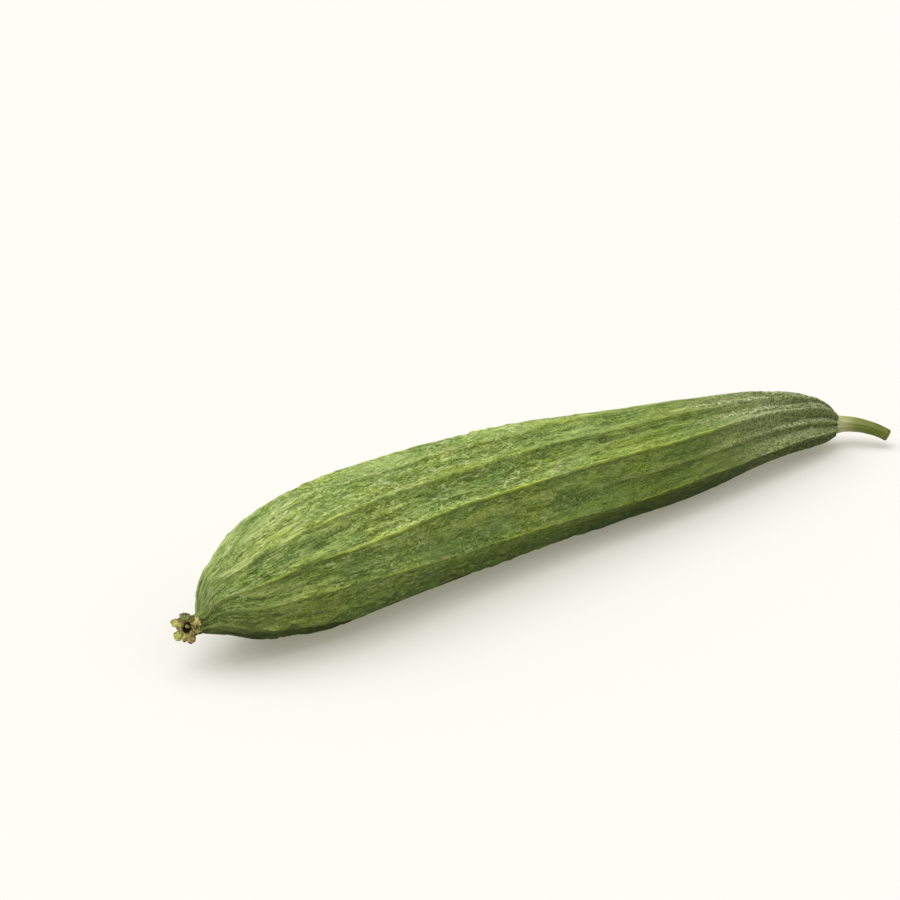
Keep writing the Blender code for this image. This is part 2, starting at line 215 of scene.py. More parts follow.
class GourdBody:
    """The shape of the body, worked out for many points at once."""

    def __init__(self, length, relief):
        self.length = length
        self.relief = relief

    @staticmethod
    def plain_radius(shares):
        """Radius over the ridges, without the neck. Its square is smooth, which rounds both ends."""
        squares = [(place, radius ** 2) for place, radius in CREST_RADIUS]
        return smooth_through(squares, np.clip(shares, 0, 1)) ** 0.5

    def crest_radius(self, shares):
        """Radius over the ridges, and of the neck that carries the flower cup."""
        body = self.plain_radius(shares) * rise(shares, -0.006, 0.0015)
        joined = (body ** NECK_BLEND + NECK_RADIUS ** NECK_BLEND) ** (1 / NECK_BLEND)
        return joined * (1 - STEM_ROUNDING * rise(shares, 0.994, 1.0))

    def centre(self, shares):
        """Middle of each section, so that the lowest two ridges touch the surface."""
        held = np.clip(shares, 0, 1)
        height = self.plain_radius(shares) * cos(LOWEST_RIDGES) - PRESS + smooth_through(LIFT, held)
        along = BODY_START[0] + shares * self.length
        return np.stack([along, BODY_START[1] + smooth_through(SIDE_SWAY, held), height], -1)

    def section_axes(self, shares):
        """Directions across each section: to the far side, and up."""
        held = np.clip(shares, 0, 1)
        ahead = np.minimum(held + 0.01, 1)
        behind = np.maximum(held - 0.01, 0)
        sway = smooth_through(SIDE_SWAY, ahead) - smooth_through(SIDE_SWAY, behind)
        along = np.stack([np.ones_like(shares), sway / ((ahead - behind) * self.length),
                          smooth_through(AXIS_TILT, held)], -1)
        return across_and_up(unit(along))

    def ridge_angle(self, ridges, shares):
        """Angle of each ridge at its share: a little wavy, and twisted towards the blossom end."""
        turns, numbers = np.divmod(ridges, len(RIDGE_ANGLES))
        held = np.clip(shares, RIDGE_SHARES[0], RIDGE_SHARES[-1])
        angles = np.zeros_like(shares)
        for number, stations in enumerate(RIDGE_ANGLES):
            ours = numbers == number
            angles[ours] = smooth_through(list(zip(RIDGE_SHARES, stations)), held[ours])
        steady = (numbers == 0) | (numbers == len(RIDGE_ANGLES) - 1)
        waves = np.sin(2 * pi * (shares * (3.1 + 0.37 * numbers) + 0.29 * numbers))
        wander = np.where(steady, 0, RIDGE_WANDER * waves)
        twist = TIP_TWIST * np.exp(-np.maximum(shares, 0) / TIP_TWIST_SHARE)
        return np.radians(angles + wander + twist) + 2 * pi * turns

    def lumps(self, gaps, shares):
        """Slow swellings of each face between two ridges."""
        heights = np.zeros_like(shares)
        for gap in range(len(RIDGE_ANGLES) - 1):
            random = np.random.default_rng(LUMP_SEED + gap)
            waves = random.uniform(5, 13, 3)
            phases = random.uniform(0, 2 * pi, 3)
            ours = gaps == gap
            heights[ours] = np.sin(2 * pi * shares[ours, None] * waves + phases).sum(-1)
        return LUMP_HEIGHT * heights

    def surface_length(self, shares):
        """Distance along the skin from the blossom end, round the blunt end as well."""
        fine = np.linspace(-NECK_SHARE, 1, 2000)
        radii = self.crest_radius(fine)
        steps = np.hypot(np.diff(fine) * self.length, np.diff(radii))
        return np.interp(shares, fine, np.concatenate([[0], np.cumsum(steps)]))

    def points(self, shares, gaps, parts):
        """Points of the skin and the masks that its colours use."""
        start = self.ridge_angle(gaps, shares)
        width = self.ridge_angle(gaps + 1, shares) - start
        radius = self.crest_radius(shares)
        way = self.surface_length(shares)
        follow = (gaps + parts) / len(RIDGE_ANGLES) * 2 * pi
        ridge_place = np.stack([way, MIDDLE_RADIUS * np.cos(follow), MIDDLE_RADIUS * np.sin(follow)], -1)
        angle = start + width * parts
        true_place = np.stack([way, radius * np.cos(angle), radius * np.sin(angle)], -1)
        size = np.minimum(1, radius / FULL_RELIEF_RADIUS)

        # Crest: gentle above and steep beneath, uneven in height and a little wavy sideways
        side_wave = CREST_WAVE * noise_at(ridge_place, "crest_wave")
        side_wave += CREST_RIPPLE * noise_at(ridge_place, "crest_ripple")
        from_crest = radius * width * np.minimum(parts, 1 - parts)
        signed = np.where(parts < 0.5, from_crest, -from_crest) - side_wave * size
        crest_angle = np.where(parts < 0.5, start, start + width)
        above = rise(np.sign(signed) * np.cos(crest_angle), -0.35, 0.35)
        reach = BEAD_STEEP + (BEAD_GENTLE - BEAD_STEEP) * above
        distance = np.sqrt(signed ** 2 + BEAD_TOP ** 2) - BEAD_TOP
        crest = np.exp(-distance / reach / (0.4 + 0.6 * size))
        uneven = 1 + 0.14 * noise_at(ridge_place, "crest_break")
        uneven += 0.50 * noise_at(ridge_place, "crest_swell")
        held = np.clip(shares, 0, 1)
        nearest = (gaps + (parts >= 0.5)) % len(RIDGE_ANGLES)
        strength = np.array(RIDGE_STRENGTH)[nearest]
        uneven *= strength + (1 - strength) * rise(shares, 0.72, 0.88)
        bead = smooth_through(BEAD_HEIGHT, held) + TIP_BEAD * bell(shares + 0.004, 0.012)

        # Faces: flat between the crests, hollowed, with riblets, lumps, dents and grooves
        middle = np.sin(pi * parts)
        flat = (radius - bead) * np.cos(width / 2) / np.cos(width * (parts - 0.5))
        hollow = smooth_through(HOLLOW, held) * middle ** 2
        riblet_start = np.array(RIBLET_START)[gaps]
        grown = np.clip((shares - riblet_start) / (RIBLET_FULL - riblet_start), 0, 1)
        riblet = np.array(RIBLET_HEIGHT)[gaps] * grown * bell(radius * width * (parts - 0.5), RIBLET_WIDTH)
        riblet = riblet * np.minimum(1, (1 - shares) / RIBLET_FADE)
        swell = self.lumps(gaps, shares) * middle * size
        streak = noise_at(ridge_place, "streak")
        stem = rise(shares, 0.70, 0.95)
        grooves = (GROOVE_DEPTH + STEM_GROOVE_DEPTH * stem) * streak * (0.3 + 0.7 * middle) * size
        roll = noise_at(ridge_place, "roll")
        rolls = ROLL_HEIGHT * roll * (0.10 + 0.90 * middle) * size
        dent = self.dents(shares, angle, radius)

        # Stem end: twice as many round ribs, with narrow deep grooves between them
        bent = parts + 0.05 * noise_at(ridge_place, "bend")
        rib = abs(np.cos(2 * pi * bent)) ** 0.6
        fluted = rise(shares, 0.76, 0.93) * (1 - 0.5 * rise(shares, 0.985, 1.0))
        flute = FLUTE_DEPTH * fluted * (1 - rib) * (1 + 0.5 * streak)

        # Fine wrinkles, in patches, and warts at the stem end
        patch = rise(noise_at(ridge_place, "patch"), -0.45, 0.35)
        wrinkle = noise_at(true_place, "wrinkle")
        patchy = (0.35 + 0.65 * patch) * (1 - 0.72 * rise(shares, 0.40, 0.70))
        wart = noise_at(true_place, "wart") * rise(shares, 0.78, 0.92)
        fine = (self.relief * wrinkle * patchy + WART_HEIGHT * wart) * size * (1 - 0.5 * crest)

        depth = flat - hollow + swell + riblet + grooves + rolls + fine - DENT_DEPTH * dent - flute
        depth = depth + bead * uneven * crest
        across, up = self.section_axes(shares)
        places = self.centre(shares) + depth[:, None] * (
            np.sin(angle)[:, None] * up - np.cos(angle)[:, None] * across)
        places[:, 2] = np.maximum(places[:, 2], 0)
        # Where the painted shade line beneath each crest lies
        beneath = signed + UNDER_CREST_SHADE_OFFSET * np.sign(np.cos(crest_angle))
        masks = {
            "share": shares,
            "crest": bell(signed, CREST_LINE + CREST_LINE_GAIN * size) * np.clip(uneven, 0, 1.5),
            "flank": bell(beneath, UNDER_CREST_SHADE_WIDTH) * np.clip(uneven, 0, 1.3),
            # Low places of the relief, for painted shade in them
            "pit": np.clip(-1.2 * wrinkle * patchy - 0.5 * roll - wart, -1, 1),
            "dent": np.clip(dent, 0, 1),
            "streak": np.clip(0.5 + streak, 0, 1),
            "riblet": np.clip(riblet / RIBLET_SHOWN, 0, 1),
            "groove": fluted * (1 - rib),
            "wart": np.clip(wart, 0, 1),
            "down": -np.sin(angle),
            # Lower part of the shaded face, for its painted shade
            "lower": np.where(gaps == SHADED_FACE, 1 - rise(parts, 0.30, 0.75), 0.0),
        }
        return places, masks, ridge_place

    @staticmethod
    def dents(shares, angle, radius):
        """Soft dents just under one ridge, 1 in the middle of each."""
        total = np.zeros_like(shares)
        turned = (angle + pi) % (2 * pi) - pi
        for share, degrees, length, width, depth in DENTS:
            along = (shares - share) * DENT_BODY_LENGTH / length
            round_body = (turned - radians(degrees)) * radius / width
            total += depth * np.exp(-along ** 2 - round_body ** 2)
        return total


def spun_tube(rings, columns):
    """An even closed tube along X, one unit for each ring, and the ring and column of each point."""
    bm = bmesh.new()
    profile = [(-1, 0)] + [(number, 1) for number in range(rings)] + [(rings, 0)]
    row = [bm.verts.new((place, -radius, 0)) for place, radius in profile]
    edges = [bm.edges.new(pair) for pair in zip(row, row[1:])]
    bmesh.ops.spin(bm, geom=row + edges, cent=(0, 0, 0), axis=(1, 0, 0), angle=2 * pi, steps=columns,
                   use_merge=True)
    bmesh.ops.remove_doubles(bm, verts=bm.verts, dist=0.001)
    spots = np.array([vert.co for vert in bm.verts])
    ring = np.rint(spots[:, 0]).astype(int)
    turn = np.arctan2(spots[:, 2], -spots[:, 1]) % (2 * pi)
    column = np.rint(turn / (2 * pi) * columns).astype(int) % columns
    return bm, ring, column


def place_points(bm, places):
    """Move a mesh's points to their places, and turn its faces outwards."""
    for vert, place in zip(bm.verts, places):
        vert.co = place
    bm.normal_update()
    bmesh.ops.recalc_face_normals(bm, faces=bm.faces)


def new_object(name, bm, material):
    """An object in the scene from a finished mesh."""
    mesh = bpy.data.meshes.new(name)
    bm.to_mesh(mesh)
    bm.free()
    mesh.materials.append(material)
    made = bpy.data.objects.new(name, mesh)
    bpy.context.scene.collection.objects.link(made)
    return made


def new_piece(name, bm, material, masks=None, places=None):
    """A smooth object on the body, with its masks and kept places as point attributes."""
    piece = new_object(name, bm, material)
    for kind, entry, kept in (("FLOAT", "value", masks), ("FLOAT_VECTOR", "vector", places)):
        for label, values in (kept or {}).items():
            layer = piece.data.attributes.new(label, kind, "POINT")
            layer.data.foreach_set(entry, np.asarray(values, dtype=np.float32).ravel())
    piece.data.shade_smooth()
    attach(piece, BODY)
    return piece


class Wire:
    """A number socket of a material. Arithmetic on it adds Math nodes."""

    def __init__(self, finish, socket):
        self.finish = finish
        self.socket = socket

    def __add__(self, other):
        return self.finish.maths("ADD", self, other)

    def __sub__(self, other):
        return self.finish.maths("SUBTRACT", self, other)

    def __mul__(self, other):
        return self.finish.maths("MULTIPLY", self, other)

    def __rsub__(self, other):
        return self.finish.maths("SUBTRACT", other, self)

    __radd__ = __add__
    __rmul__ = __mul__


class Finish:
    """A material under construction, with short calls for the nodes it needs."""

    def __init__(self, name):
        self.material = bpy.data.materials.new(name)
        self.material.use_nodes = True
        self.tree = self.material.node_tree
        self.shader = self.tree.nodes["Principled BSDF"]
        self.places = self.node("ShaderNodeTexCoord", output="Object")
        self.colour = (0.5, 0.5, 0.5)

    def node(self, kind, settings=None, inputs=None, output=0):
        """Add a node: its settings first, then the values or links of its sockets."""
        made = self.tree.nodes.new(kind)
        for key, value in (settings or {}).items():
            if key == "stops":
                self.set_stops(made.color_ramp, value)
            else:
                setattr(made, key, value)
        for key, value in (inputs or {}).items():
            self.feed(made.inputs[key], value)
        return Wire(self, made.outputs[output])

    def feed(self, socket, value):
        """Link a wire to a socket, or set a plain value."""
        if isinstance(value, Wire):
            self.tree.links.new(value.socket, socket)
        elif socket.type == "RGBA":
            socket.default_value = (*value, 1.0)
        else:
            socket.default_value = value

    @staticmethod
    def set_stops(ramp, stops):
        """Give a ramp its places and colours."""
        while len(ramp.elements) < len(stops):
            ramp.elements.new(0.5)
        for element, (place, colour) in zip(ramp.elements, stops):
            element.position = place
            element.color = (*colour, 1.0)

    def maths(self, operation, first, second):
        return self.node("ShaderNodeMath", {"operation": operation}, {0: first, 1: second})

    def limit(self, value, low, high):
        """0 at low, 1 at high, smooth between and held outside."""
        return self.node("ShaderNodeMapRange", {"interpolation_type": "SMOOTHSTEP"},
                         {"Value": value, "From Min": low, "From Max": high})

    def lines(self, source, wide, narrow):
        """1 on thin lines, where a noise passes through its middle."""
        off = source - 0.5
        return self.limit(off * off, wide, narrow)

    def masks(self, *names):
        """Numbers kept on the mesh's points."""
        return [self.node("ShaderNodeAttribute", {"attribute_name": name}, output="Fac") for name in names]

    def kept_place(self, name):
        """A place kept on the mesh's points."""
        return self.node("ShaderNodeAttribute", {"attribute_name": name}, output="Vector")

    def stretch(self, scales, source=None):
        return self.node("ShaderNodeMapping", inputs={"Vector": source or self.places, "Scale": scales})

    def noise(self, scale, detail=2.0, roughness=0.5, source=None, distortion=0.0):
        return self.node("ShaderNodeTexNoise", inputs={
            "Vector": source or self.places, "Scale": scale, "Detail": detail,
            "Roughness": roughness, "Distortion": distortion})

    def blend(self, factor, first, second, mode="MIX"):
        """Mix two colours."""
        return self.node("ShaderNodeMix", {"data_type": "RGBA", "blend_type": mode, "clamp_factor": True},
                         {0: factor, 6: first, 7: second}, output=2)

    def paint(self, amount, tint):
        """Lay a tint over the colour so far."""
        self.colour = self.blend(amount, self.colour, tint)

    def wash(self, source, low, high, amount, tint):
        """Lay a tint where a number has passed from low to high."""
        self.paint(self.limit(source, low, high) * amount, tint)

    def shade(self, amount, tint):
        """Multiply the colour so far by a tint."""
        self.colour = self.blend(amount, self.colour, tint, "MULTIPLY")

    def bump(self, height, strength, distance, under=None):
        inputs = {"Height": height, "Strength": strength, "Distance": distance}
        if under:
            inputs["Normal"] = under
        return self.node("ShaderNodeBump", inputs=inputs)

    def close(self, roughness, normal=None, **uniform):
        """Feed the shader with the colour so far. Uniform values are set on its own sockets."""
        self.feed(self.shader.inputs["Base Color"], self.colour)
        self.feed(self.shader.inputs["Roughness"], roughness)
        if normal:
            self.feed(self.shader.inputs["Normal"], normal)
        for key, value in uniform.items():
            self.shader.inputs[key.replace("_", " ")].default_value = value
        return self.material


def skin_finish(look):
    """Mottled waxy green, grey at the stem end; pale tops of wrinkles and dark creases, partly mottling and
    partly painted highlight and painted shade; painted shade low on the body.
    """
    finish = Finish("gourd_skin")
    limit, paint, wash, shade = finish.limit, finish.paint, finish.wash, finish.shade
    dark, pale = look.dark_green, look.pale_green
    share, crest, flank, riblet, groove = finish.masks("share", "crest", "flank", "riblet", "groove")
    streak, pit, dent, wart = finish.masks("streak", "pit", "dent", "wart")
    facing, down, lower = finish.masks("facing", "down", "lower")
    ridge_place = finish.kept_place("ridge_place")
    long_way = finish.stretch((0.30, 1.0, 1.0), ridge_place)

    # Noise, from wide patches to the finest grain
    patches = finish.noise(70, 3, 0.55, long_way)
    cool = finish.noise(110, 3, 0.55, long_way, 0.4)
    bloom = finish.noise(190, 4, 0.6, long_way)
    folds = finish.noise(210, 3, 0.62, finish.stretch((0.17, 1.0, 1.0), ridge_place), 0.7)
    spokes = finish.noise(240, 3, 0.62, long_way, 0.5)
    fibres = finish.noise(420, 3, 0.6, finish.stretch((0.10, 1.0, 1.0), ridge_place))
    wrinkle = finish.noise(560, 3, 0.62, finish.stretch((0.34, 1.0, 1.0), ridge_place), 0.9)
    strokes = finish.noise(600, 3, 0.6, finish.stretch((0.42, 1.0, 1.0)), 1.6)
    scales = finish.noise(950, 2, 0.5)
    specks = finish.noise(1700, 2, 0.5)
    grain = finish.noise(1900, 2, 0.6, finish.stretch((0.6, 1.0, 1.0)))
    fold_line = finish.lines(folds, 0.0007, 0.0)
    crease = finish.lines(wrinkle, 0.0012, 0.0001)
    broken = limit(bloom, 0.43, 0.57)

    # Parts of the body, and how much its marks show there
    # How far a face is turned from the light; there the pale strokes, partly painted highlight, are stronger
    # and the dark creases weaker
    low = limit(facing, 0.5, 0.0)
    stem = limit(share, 0.68, 0.90)
    near_tip = limit(share, 0.22, 0.05)
    middle = limit(share, 0.22, 0.34) * limit(share, 0.68, 0.52)
    stem_half = limit(share, 0.45, 0.66) * limit(share, 0.88, 0.76)
    calm = 1 - 0.55 * limit(share, 0.36, 0.60) * limit(share, 0.92, 0.80)
    dark_calm = calm * (1 - 0.45 * low)

    # Patches; folds pale above and dark below, partly mottling and partly painted highlight and painted
    # shade;
    # painted shade in the shallow grooves, along fold lines and in the dents
    finish.colour = look.deep_green
    paint(limit(patches, 0.36, 0.64), look.green)
    wash(cool, 0.50, 0.66, 0.60, look.cool_green)
    wash(patches, 0.52, 0.70, 0.60, look.yellow_green)
    wash(bloom, 0.52, 0.68, 0.45, look.grey_bloom)
    wash(folds, 0.53, 0.64, 0.45, pale)
    wash(folds, 0.46, 0.36, 0.45, dark)
    wash(streak, 0.50, 0.15, 0.30, dark)
    paint(fold_line * 0.35, dark)
    # Painted shade in the dents
    wash(dent, 0.15, 0.85, 0.60, dark)
    paint(stem * 0.85, look.stem_green)

    # Fibres, wrinkles, grain and strokes, pale on top and dark between: partly mottling,
    # partly painted highlight on the tops and painted shade in the pits and creases
    wash(fibres, 0.52, 0.66, 0.40, pale)
    wash(fibres, 0.46, 0.34, 0.45, dark)
    wash(pit, 0.25, 0.90, 0.35, dark)
    wash(wrinkle, 0.52, 0.58, 0.50 * calm, pale)
    wash(wrinkle, 0.45, 0.34, 0.35 * dark_calm, dark)
    paint(crease * 0.40 * dark_calm, dark)
    wash(grain, 0.52, 0.60, 0.42, pale)
    wash(grain, 0.47, 0.38, 0.42, dark)
    wash(strokes, 0.54, 0.60, (0.45 + 0.35 * low) * calm, pale)
    wash(strokes, 0.44, 0.38, 0.45 * dark_calm, dark)
    # Painted glints on pale strokes, towards the blossom end
    glint = limit(bloom, 0.43, 0.56) * limit(share, 0.66, 0.42)
    wash(strokes, 0.575, 0.63, 0.50 * glint, look.fleck_and_glint)
    wash(spokes, 0.53, 0.59, 0.80 * near_tip, pale)
    wash(spokes, 0.46, 0.38, 0.60 * near_tip, dark)

    # Crests, small ribs and the stem end, with painted shade beneath each crest and in the stem end's grooves
    beside = 0.20 + 0.15 * limit(share, 0.15, 0.45) - 0.22 * stem
    # Painted shade in a line beneath each crest
    wash(flank, 0.3, 1.0, beside, dark)
    # Painted shade in the narrow grooves of the stem end
    wash(groove, 0.35, 0.80, 0.90, dark)
    wash(riblet, 0.4, 1.0, 0.1 + 0.5 * broken, pale)
    line = limit(crest, 0.30, 0.95) * (1 - 0.75 * limit(share, 0.12, 0.04))
    paint(line * (0.12 + 0.70 * broken), finish.blend(stem, look.crest_green, look.fleck_and_glint))
    paint(stem * 0.45, look.stem_green)
    wash(specks, 0.64, 0.72, 0.60 * limit(bloom, 0.42, 0.58), look.fleck_and_glint)
    wash(scales, 0.47, 0.40, 0.55 * stem, dark)
    raised = 0.35 + 0.65 * limit(crest + riblet, 0.05, 0.6)
    silver = 0.90 * limit(stem + 0.6 * riblet, 0.1, 0.8) * raised
    wash(scales, 0.51, 0.57, silver, look.fleck_and_glint)
    wash(wart, 0.12, 0.40, 0.70 * limit(grain, 0.45, 0.58), look.fleck_and_glint)

    # Warm and dull patches
    shade(limit(cool, 0.46, 0.37) * limit(share, 0.80, 0.60) * 0.45, LIME_TINT)
    wash(cool, 0.52, 0.62, 0.30 * limit(share, 0.75, 0.45), look.grey_bloom)
    tone = 1 - 0.5 * limit(share, 0.50, 0.66)
    shade(limit(patches, 0.50, 0.38) * 0.6 * tone, PATCH_TINT)

    # Painted shade: on faces turned from the light, then low on the body, on the lower part of one face and
    # darkest along the bottom;
    # the stem half is darker all round, with painted shade on its low faces
    shade(limit(facing, 0.80, 0.05) * 0.80, look.painted_shade)
    fuller = 0.3 + 0.7 * limit(share, 0.10, 0.40)
    shade(limit(down, 0.10, 0.58) * fuller, look.painted_shade)
    shade(limit(facing, -0.12, -0.62) * (0.5 + 0.35 * stem), look.painted_shade)
    shade(lower * middle, LOWER_FACE_SHADE_TINT)
    # Painted shade along the bottom of the body, where it meets the floor
    shade(limit(down, 0.42, 0.80) * 0.85, BOTTOM_SHADE_TINT)
    shade(stem_half * 0.7, STEM_HALF_TINT)
    shade(stem_half * limit(limit(down, 0.20, 0.50) + lower, 0.0, 1.0), look.painted_shade)

    roughness = 0.40 + 0.20 * grain + 0.12 * limit(bloom, 0.45, 0.65)
    roughness += 0.30 * limit(facing, -0.3, -0.8)
    height = wrinkle * calm - 0.12 * crease + 0.35 * grain + 0.3 * fibres + 1.2 * folds
    height += 0.7 * stem * scales - 0.15 * fold_line
    return finish.close(roughness, finish.bump(height, look.grain, 0.0026), Specular_IOR_Level=0.30)


def gourd_stalk_finish():
    """Stalk: pale and cream at its root, olive further out, with lengthwise fibres."""
    finish = Finish("cut_stalk")
    share, rib, cut = finish.masks("share", "rib", "cut")
    fibres = finish.noise(1.0, 3, 0.6, finish.kept_place("fibre_place"))
    blotch = finish.noise(420, 3, 0.6)
    pith = finish.noise(1600, 2, 0.5)
    finish.colour = finish.node("ShaderNodeValToRGB", {"stops": STALK_STOPS}, {0: share})
    finish.wash(rib, 0.3, 0.95, 0.32 - 0.32 * share, (0.430, 0.450, 0.270))
    finish.wash(fibres, 0.48, 0.62, 0.5, (0.100, 0.125, 0.022))
    finish.wash(blotch, 0.55, 0.75, 0.4, (0.300, 0.300, 0.120))
    cut_colour = finish.blend(finish.limit(pith, 0.4, 0.6), (0.150, 0.170, 0.040), (0.250, 0.260, 0.100))
    finish.paint(finish.limit(cut, 0.3, 0.6), cut_colour)
    return finish.close(0.42 + 0.2 * fibres, finish.bump(fibres, 0.5, 0.0006), Specular_IOR_Level=0.25)


def flower_finish():
    """Dried flower cup: yellow green lobes with brown edges and a dark brown inside."""
    finish = Finish("dried_flower")
    tip, edge, hue, inside = finish.masks(*CUP_MASKS)
    mottle = finish.noise(700, 3, 0.6)
    veins = finish.noise(1.0, 3, 0.6, finish.stretch((1600, 1600, 500)))
    fibres = finish.noise(1500, 2, 0.6)
    finish.colour = finish.node("ShaderNodeValToRGB", {"stops": FLOWER_STOPS}, {0: hue})
    finish.wash(mottle, 0.52, 0.62, 0.50, (0.150, 0.105, 0.032))
    finish.wash(edge + 0.9 * mottle, 0.98, 1.18, 0.85, (0.085, 0.045, 0.016))
    finish.wash(tip + 0.5 * mottle, 0.55, 0.30, 0.90 * finish.limit(tip, 0.001, 0.01), (0.070, 0.032, 0.014))
    finish.wash(veins, 0.52, 0.58, 0.40, (0.150, 0.088, 0.026))
    finish.wash(veins, 0.46, 0.38, 0.50, (0.560, 0.580, 0.200))
    finish.wash(tip + 0.5 * mottle, 1.10, 1.30, 0.80, (0.075, 0.045, 0.020))
    finish.paint(finish.limit(inside, 0.2, 0.7), (0.045, 0.022, 0.012))
    normal = finish.bump(fibres + mottle, 0.7, 0.0006)
    return finish.close(0.62 + 0.2 * mottle, normal, Specular_IOR_Level=0.35)


def style_finish():
    """Dried style: dark foot, pale green tip."""
    finish = Finish("dried_style")
    tip, = finish.masks("tip")
    mottle = finish.noise(1300, 3, 0.6)
    finish.colour = (0.060, 0.032, 0.016)
    finish.paint(finish.limit(tip + 0.3 * mottle, 0.45, 0.85), (0.300, 0.320, 0.110))
    return finish.close(0.6 + 0.2 * mottle, finish.bump(mottle, 0.4, 0.0003))


def floor_finish(colour, glow):
    """Plain pale matt floor, which glows a little so that its shadows stay soft."""
    finish = Finish("floor")
    finish.colour = colour
    return finish.close(0.9, Specular_IOR_Level=0.1, Emission_Color=FLOOR_GLOW_COLOUR, Emission_Strength=glow)


def frame_along(place, way):
    """A frame whose Z runs along a direction, and whose Y stays near world up."""
    along = Vector(way).normalized()
    side = Vector((0, 0, 1)).cross(along).normalized()
    up = along.cross(side)
    return Matrix.Translation(place) @ Matrix((side, up, along)).transposed().to_4x4()


def look_back(name, data, place, way):
    """A light or a camera at a place, which looks back against a direction."""
    made = bpy.data.objects.new(name, data)
    made.location = place
    made.rotation_mode = "QUATERNION"
    made.rotation_quaternion = way.to_track_quat("Z", "Y")
    bpy.context.scene.collection.objects.link(made)
    return made


def colour_property(name, description, value):
    return bpy.props.FloatVectorProperty(name=name, description=description, subtype="COLOR", size=3,
                                         min=0.0, max=1.0, default=value)


def size_property(name, description, value, low, high):
    return bpy.props.FloatProperty(name=name, description=description, unit="LENGTH", default=value,
                                   min=low, max=high)


def count_property(name, description, value, low, high):
    return bpy.props.IntProperty(name=name, description=description, default=value, min=low, max=high)


def strength_property(name, description, value, high=10.0):
    return bpy.props.FloatProperty(name=name, description=description, default=value, min=0.0, max=high)


def vector_property(name, description, value, subtype="DIRECTION"):
    return bpy.props.FloatVectorProperty(name=name, description=description, subtype=subtype, default=value)


def angle_property(name, description, degrees):
    return bpy.props.FloatProperty(name=name, description=description, subtype="ANGLE", unit="ROTATION",
                                   default=radians(degrees))


class GOURD_PG_skin(bpy.types.PropertyGroup):
    length: size_property("Body length", "From the blossom end to the stem end", 0.3412, 0.2, 0.6)
    rings: count_property("Rings", "Rows of points along the body", 404, 40, 420)
    gap_points: count_property("Points per face", "Points from one ridge to the next", 24, 6, 24)
    relief: size_property("Wrinkle height", "Height of the fine wrinkles of the skin", 0.00110, 0.0, 0.002)
    grain: strength_property("Grain", "Strength of the finest surface grain", 0.90, 1.0)
    green: colour_property("Green", "Main green of the skin", (0.330, 0.475, 0.045))
    deep_green: colour_property("Deep green", "Darker green of the skin", (0.228, 0.360, 0.030))
    cool_green: colour_property("Cool green", "Bluish green patches", (0.225, 0.380, 0.072))
    yellow_green: colour_property("Yellow green", "Warmer patches", (0.425, 0.550, 0.048))
    grey_bloom: colour_property("Grey bloom", "Dull waxy patches", (0.380, 0.490, 0.160))
    # Painted shade: the tint that darkens faces turned from the light and low on the body
    painted_shade: colour_property("Underside", "Tint of the shaded faces", (0.66, 0.70, 0.50))
    stem_green: colour_property("Stem green", "Grey green of the stem end", (0.370, 0.425, 0.210))
    # Dark green serves both real mottling and painted shade in pits, creases and grooves
    dark_green: colour_property("Dark green", "Pits, creases and grooves", (0.064, 0.115, 0.012))
    # Pale green serves both real mottling and painted highlight on the tops of wrinkles
    pale_green: colour_property("Pale green", "Tops of the wrinkles", (0.520, 0.632, 0.215))
    crest_green: colour_property("Crest green", "Thin pale line on each ridge", (0.600, 0.710, 0.120))
    # Pale specks of the skin, also used for the painted glints
    fleck_and_glint: colour_property("Fleck", "Tiny pale specks", (0.740, 0.790, 0.480))


class GOURD_PG_stalk(bpy.types.PropertyGroup):
    length: size_property("Stalk length", "Along the bent stalk", 0.0242, 0.01, 0.06)
    root_depth: size_property("Root depth", "How far the root is sunk into the body", 0.0022, 0.0, 0.005)
    start_way: vector_property("Start direction", "Direction at the root", (0.89, -0.46, 0.10))
    end_way: vector_property("End direction", "Direction at the cut", (0.40, -0.88, -0.34))
    sides: count_property("Sides", "Points round the stalk", 100, 20, 160)
    rings: count_property("Rings", "Rows of points along the stalk", 110, 20, 200)


class GOURD_PG_flower(bpy.types.PropertyGroup):
    mouth_place: vector_property("Mouth place", "Middle of the cup's mouth, from the body's blossom end",
                                 (-0.0074, -0.0003, 0.0001), "TRANSLATION")
    mouth_way: vector_property("Mouth direction", "Direction that the flower cup faces", (-0.80, -0.58, 0.14))
    lobe_thickness: size_property("Lobe thickness", "Thickness of a lobe at its root", 0.0010, 0.0003, 0.002)
    style_length: size_property("Style length", "Height of the stub in the cup", 0.0040, 0.001, 0.01)
    style_radius: size_property("Style radius", "Radius of the stub at its foot", 0.0012, 0.0003, 0.003)


class GOURD_PG_stage(bpy.types.PropertyGroup):
    floor_size: size_property("Floor size", "Side of the square floor", 8.0, 1.0, 20.0)
    floor_colour: colour_property("Floor", "Colour of the floor", (0.460, 0.454, 0.466))
    floor_glow: strength_property("Floor glow", "Light that the floor gives off by itself", 0.25)
    key_strength: strength_property("Key light", "Strength of the soft main light", 2.85)
    fill_strength: strength_property("Fill light", "Strength of the soft front light", 1.00)
    sky_strength: strength_property("Sky", "Strength of the even light from all round", 0.51)
    azimuth: angle_property("Azimuth", "Where the camera stands round the gourd", -39.156)
    elevation: angle_property("Elevation", "Camera height above the horizon", 23.0)
    distance: size_property("Distance", "Camera to its aim point", 1.0, 0.1, 10.0)
    aim: vector_property("Aim", "Point that the camera looks at", (-0.05397, -0.00246, 0.05443),
                         "TRANSLATION")
    lens: bpy.props.FloatProperty(
        name="Lens", description="Focal length for a 36 mm sensor", default=101.5, min=10.0, unit="CAMERA")


# How much closer the points stand at both ends of the body, and at its crests
RING_CROWDING = 0.38
CREST_CROWDING = 0.5


